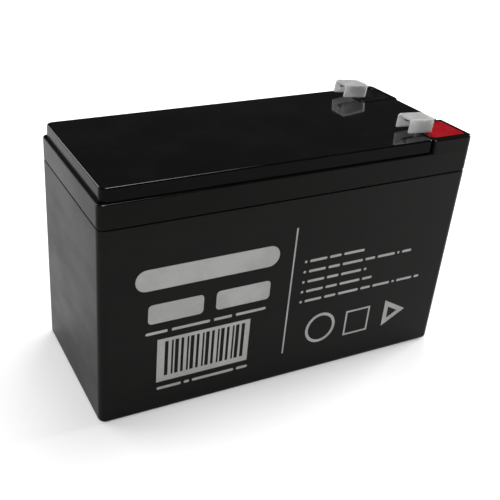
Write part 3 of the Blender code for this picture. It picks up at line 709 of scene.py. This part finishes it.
def poured_resin(name, deep, bright, edge_shade):
    material, tree, shader, place = new_finish(name)
    cloud = grain(tree, place, 0.22, 4, 0.6)
    swirl = grain(tree, place, 0.5, 2, 0.5, (1, 0.45, 1))
    colour = blend(tree, band(tree, cloud, 0.32, 0.7), deep, bright)
    speck = band(tree, grain(tree, place, 2.2, 2), 0.74, 0.79)
    colour = blend(tree, reckon(tree, "MULTIPLY", speck, 0.5), colour, edge_shade)
    tree.links.new(colour, shader.inputs["Base Color"])
    tree.links.new(band(tree, cloud, 0.3, 0.7, 0.22, 0.34), shader.inputs["Roughness"])
    height = reckon(tree, "ADD", swirl, reckon(tree, "MULTIPLY", grain(tree, place, 1.6, 2), 0.12))
    raise_by(tree, shader, height, 0.00025, 0.3)
    shader.inputs["Specular IOR Level"].default_value = 0.15
    return material


red_resin = poured_resin(
    "red_epoxy", (0.27, 0.0035, 0.008), (0.295, 0.0045, 0.010), (0.16, 0.002, 0.005)
)
black_resin = poured_resin(
    "black_epoxy", (0.0030, 0.0030, 0.0032), (0.0055, 0.0055, 0.0058), (0.03, 0.03, 0.03)
)

for sign, material in (("positive", red_resin), ("negative", black_resin)):
    low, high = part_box(f"{sign}_epoxy")
    resin = start_block(f"{sign}_resin", low, high)
    round_off(resin, pocket_corner - clearance, 8, upright)
    choose_faces(resin, lambda middle, normal: normal.z > 0.9)
    for width, fall in meniscus:
        bpy.ops.mesh.inset(thickness=width, depth=0)
        bpy.ops.transform.translate(value=(0, 0, -fall))
    leave()
    leg_y = (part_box(f"{sign}_terminal")[0].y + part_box(f"{sign}_terminal")[1].y) / 2
    post = (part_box(f"{sign}_post_seal")[0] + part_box(f"{sign}_post_seal")[1]) / 2
    half = leg_width / 2 + clearance
    room = strip / 2 + clearance
    foot = post_top + clearance + strip / 2
    carve(
        resin,
        start_rod("post_room", post, post_room, pocket_floor, foot, "Z", 24),
        start_block(
            "foot_room", (leg_x - room, leg_y - half, foot - room),
            (leg_x + foot_length + clearance, leg_y + half, foot + room),
        ),
        start_block(
            "leg_room", (leg_x - room, leg_y - half, foot),
            (leg_x + room, leg_y + half, high.z + past),
        ),
    )
    dress(resin, material, f"{sign}_epoxy", slot=f"{sign}_epoxy", angle=60)


# Terminal caps: soft milky vinyl hoods, dip moulded, that slip over the blades for transport.
# Each is open below and towards the middle, and two rails inside grip under the blade.
cap_length = 0.0117
cap_width = 0.0082
cap_height = 0.0055
cap_wall = 0.0008
cap_corner = 0.0014
cap_shoulder = 0.0012
cap_edge = 0.00045
cap_inner_corner = 0.0006
rail_from_leg = 0.0012
rail_length = 0.00515
rail_height = 0.0006
over_blade = cap_wall + clearance + strip / 2
cap_depth = cap_height - over_blade

milky, tree, shader, place = new_finish("milky_vinyl")
cloudy = grain(tree, place, 0.35, 4, 0.6)
mottle = grain(tree, place, 2.5, 2)
tree.links.new(
    blend(tree, band(tree, cloudy, 0.32, 0.7), (0.44, 0.44, 0.435), (0.52, 0.52, 0.515)),
    shader.inputs["Base Color"],
)
tree.links.new(band(tree, cloudy, 0.3, 0.7, 0.46, 0.38), shader.inputs["Roughness"])
shader.inputs["Transmission Weight"].default_value = 0.25
shader.inputs["IOR"].default_value = 1.4
shader.inputs["Subsurface Weight"].default_value = 1.0
shader.inputs["Subsurface Radius"].default_value = (1.0, 1.0, 1.0)
shader.inputs["Subsurface Scale"].default_value = 0.006
raise_by(tree, shader, reckon(tree, "ADD", mottle, cloudy), 0.00003)

for sign, tilt, slack in (("positive", 4.2, 0.0), ("negative", 6.6, 0.0006)):
    lean = math.radians(tilt)
    end = (strip / 2 + clearance + cap_depth * math.sin(lean)) / math.cos(lean) + cap_wall + slack
    mouth = end - cap_length
    bend = lid_top + clearance + cap_depth * math.cos(lean) + end * math.sin(lean)
    half = cap_width / 2
    cap = start_block(
        f"{sign}_cap", (mouth, -half, over_blade - cap_height), (end, half, over_blade)
    )
    round_off(cap, cap_corner, 6, lambda a, b: upright(a, b) and a.x > end - close)
    round_off(
        cap, cap_shoulder, 5,
        lambda a, b: max(a.x, b.x) < mouth + close and min(a.z, b.z) > over_blade - close,
    )
    finish_with(
        cap, "BEVEL", width=cap_edge, segments=4, limit_method="ANGLE", angle_limit=math.radians(40)
    )
    inside = start_block(
        "inside", (mouth - past, -half + cap_wall, over_blade - cap_height - past),
        (end - cap_wall, half - cap_wall, over_blade - cap_wall),
    )
    round_off(inside, cap_inner_corner, 4, lambda a, b: upright(a, b) and a.x > mouth)
    carve(cap, inside)
    for side in (-1, 1):
        near, far = sorted((side * (half - cap_wall / 2), side * (leg_width / 2 - clearance)))
        weld_on(cap, start_block(
            "rail",
            (-strip / 2 - rail_from_leg - rail_length, near, -strip / 2 - clearance - rail_height),
            (-strip / 2 - rail_from_leg, far, -strip / 2 - clearance),
        ))
    leg_y = (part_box(f"{sign}_terminal")[0].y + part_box(f"{sign}_terminal")[1].y) / 2
    cap.location = (leg_x, leg_y, bend)
    cap.rotation_euler = (0, lean, 0)
    bpy.ops.object.select_all(action="DESELECT")
    bpy.context.view_layer.objects.active = cap
    cap.select_set(True)
    bpy.ops.object.transform_apply(location=True, rotation=True, scale=True)
    dress(cap, milky, f"{sign}_terminal_cap", slot="cap_plastic")


# Print: silver-grey pad ink on the front of the container. Plain bars and simple figures hold
# the places of its lines, with one upright rule between the two halves.
ink_stand = 0.00002
ink_depth = 0.00003
front_y = -tub_high.y
ink = []


def bar(left, right, bottom, top, corner=0.0):
    """A flat field of ink, in the front's own x and z, in millimetres."""
    bpy.ops.object.select_all(action="DESELECT")
    bpy.ops.mesh.primitive_plane_add(
        size=1, location=((left + right) / 2000, 0, (bottom + top) / 2000), rotation=(math.pi / 2, 0, 0)
    )
    field = bpy.context.object
    field.scale = ((right - left) / 1000, (top - bottom) / 1000, 1)
    bpy.ops.object.transform_apply(location=True, rotation=True, scale=True)
    if corner:
        choose_points(field, lambda p: True)
        bpy.ops.mesh.bevel(offset=corner / 1000, segments=5, affect="VERTICES")
        leave()
    ink.append(field)


def outline(x, z, radius, line, sides, turn=0.0):
    """A ring or a straight-sided figure drawn with one line."""
    bpy.ops.object.select_all(action="DESELECT")
    bpy.ops.mesh.primitive_circle_add(
        vertices=sides, radius=radius / 1000, location=(x / 1000, 0, z / 1000),
        rotation=(math.pi / 2, 0, 0), fill_type="NGON",
    )
    figure = bpy.context.object
    if turn:
        figure.rotation_euler.rotate_axis("Z", turn)
    bpy.ops.object.transform_apply(location=True, rotation=True, scale=True)
    choose_faces(figure, lambda middle, normal: True)
    bpy.ops.mesh.inset(thickness=line / 1000, depth=0)
    bpy.ops.mesh.delete(type="FACE")
    leave()
    ink.append(figure)


def words(left, right, middle, tall, lengths, space):
    """A line of dashes, as a line of small print reads from a distance."""
    x = left
    index = 0
    while x < right - tall:
        end = min(x + lengths[index % len(lengths)], right)
        bar(x, end, middle - tall / 2, middle + tall / 2, tall * 0.45)
        x = end + space
        index += 1


bar(-62.5, -6.2, 53.6, 62.2, 4.2)
bar(-57.5, -36.0, 39.6, 47.6, 1.6)
bar(-31.0, -8.8, 39.6, 47.6, 1.6)
words(-58.3, -8.2, 35.6, 1.15, (8.5, 15.2, 7.4, 12.6), 1.6)
stripe_foot, stripe_top = 15.6, 30.9
bar(-53.6, -15.9, stripe_top, 32.3)
bar(-53.6, -15.9, 13.2, stripe_foot)
bar(-53.6, -50.6, stripe_foot, stripe_top)
bar(-18.0, -15.9, stripe_foot, stripe_top)
for index in range(15):
    left = -49.2 + index * 2.06
    bar(left, left + (1.3, 0.6, 0.95)[index % 3], stripe_foot, stripe_top)
words(-53.3, -15.4, 10.2, 1.2, (9.8, 2.2, 17.5, 5.6), 1.2)
bar(-0.1, 0.55, 11.8, 67.7)
for line_right, line_z in ((33.2, 52.4), (55.7, 47.9), (34.8, 43.4), (40.2, 39.0), (62.4, 34.5)):
    words(5.2, line_right, line_z, 1.1, (1.1, 7.6, 5.2, 9.4, 4.6, 8.2), 1.25)
outline(16.7, 20.0, 6.9, 1.25, 48)
outline(34.4, 18.9, 8.3, 0.8, 4, math.pi / 4)
outline(51.3, 19.3, 7.2, 2.0, 3, math.pi / 6)

bpy.ops.object.select_all(action="DESELECT")
for field in ink:
    field.select_set(True)
bpy.context.view_layer.objects.active = ink[0]
bpy.ops.object.join()
print_film = bpy.context.object
print_film.name = "front_print"
for point in print_film.data.vertices:
    lean = tub_draft * (1 - point.co.z / tub_high.z)
    point.co.y = front_y + lean - ink_stand
finish_with(print_film, "SOLIDIFY", thickness=ink_depth, offset=-1)

silver_ink, tree, shader, place = new_finish("silver_grey_ink")
thin_spots = grain(tree, place, 3.2, 3, 0.6)
wiped = grain(tree, place, 0.06, 3, 0.6)
cover_of = band(tree, thin_spots, 0.24, 0.42)
film = blend(tree, band(tree, wiped, 0.35, 0.7), (0.30, 0.298, 0.29), (0.36, 0.357, 0.348))
tree.links.new(blend(tree, cover_of, (0.14, 0.138, 0.134), film), shader.inputs["Base Color"])
tree.links.new(band(tree, thin_spots, 0.3, 0.7, 0.62, 0.48), shader.inputs["Roughness"])
raise_by(tree, shader, thin_spots, 0.00001)
dress(print_film, silver_ink, slot="case_plastic")


# Studio: a white floor under a dim room. A narrow lamp hangs above, the main lamp stands low on
# the right, and two broad ones fill in from the front left and from behind on the left. The near
# end mirrors the floor, which is darker close to the block: partly the block's real shadow and
# partly painted shade, as the floor's glow is painted weaker near the block.
bpy.ops.object.select_all(action="DESELECT")
bpy.ops.mesh.primitive_plane_add(size=8, location=(0, 0, 0))
floor = bpy.context.object
floor.name = "studio_floor"
white, tree, shader, place = new_finish("white_floor")
shader.inputs["Base Color"].default_value = (0.90, 0.90, 0.90, 1)
shader.inputs["Roughness"].default_value = 0.9
shader.inputs["Specular IOR Level"].default_value = 0.1
seen = tree.nodes.new("ShaderNodeLightPath")
shown = reckon(tree, "MAXIMUM", seen.outputs["Is Camera Ray"], seen.outputs["Is Glossy Ray"])
shown = reckon(tree, "MAXIMUM", shown, seen.outputs["Is Transmission Ray"])
away = tree.nodes.new("ShaderNodeVectorMath")
away.operation = "LENGTH"
tree.links.new(place, away.inputs[0])
# Painted shade: the floor's glow rises from 0.12 within 90 mm of the middle to 0.45 at 350 mm, so the
# floor round the block is painted darker.
glow_with_painted_shade_near_block = band(tree, away.outputs["Value"], 90, 350, 0.12, 0.45)
tree.links.new(reckon(tree, "MULTIPLY", shown, glow_with_painted_shade_near_block), shader.inputs["Emission Strength"])
shader.inputs["Emission Color"].default_value = (1, 1, 1, 1)
floor.data.materials.append(white)

world = bpy.data.worlds.new("dim_room")
bpy.context.scene.world = world
world.use_nodes = True
world.node_tree.nodes["Background"].inputs["Color"].default_value = (0.95, 0.97, 1.0, 1)
world.node_tree.nodes["Background"].inputs["Strength"].default_value = 0.035

block_middle = Vector((0, 0, 0.05))


def lamp(name, place, width, height, power):
    """A flat soft lamp that faces the middle of the block."""
    bpy.ops.object.light_add(type="AREA", location=place)
    made = bpy.context.object
    made.name = name
    made.data.shape = "RECTANGLE"
    made.data.size = width
    made.data.size_y = height
    made.data.energy = power
    made.rotation_euler = (Vector(place) - block_middle).to_track_quat("Z", "Y").to_euler()


lamp("lamp_above", (0.21, 0.25, 1.35), 0.45, 1.0, 10.5)
lamp("lamp_right", (1.40, 0.15, 0.50), 0.6, 0.5, 22.0)
lamp("lamp_front_left", (-0.55, -1.1, 1.2), 1.0, 0.8, 16.0)
lamp("lamp_left_behind", (-1.1, 1.2, 0.55), 1.5, 1.1, 20.0)

heading = math.radians(-25.4438)
down = math.radians(27.8820)
roll = math.radians(2.5744)
picture_pixels = 500
focal_pixels = 779.750
centre_x_pixels = 177.743
centre_y_pixels = 228.525
sensor_mm = 36

bpy.ops.object.camera_add(location=(-0.145811, -0.238666, 0.196980))
camera = bpy.context.object
camera.rotation_euler = (
    Matrix.Rotation(heading, 3, "Z")
    @ Matrix.Rotation(math.pi / 2 - down, 3, "X")
    @ Matrix.Rotation(roll, 3, "Z")
).to_euler()
camera.data.sensor_width = sensor_mm
camera.data.lens = focal_pixels / picture_pixels * sensor_mm
camera.data.shift_x = 0.5 - centre_x_pixels / picture_pixels
camera.data.shift_y = centre_y_pixels / picture_pixels - 0.5
camera.data.clip_start = 0.01
bpy.context.scene.camera = camera
bpy.context.scene.view_settings.view_transform = "Standard"
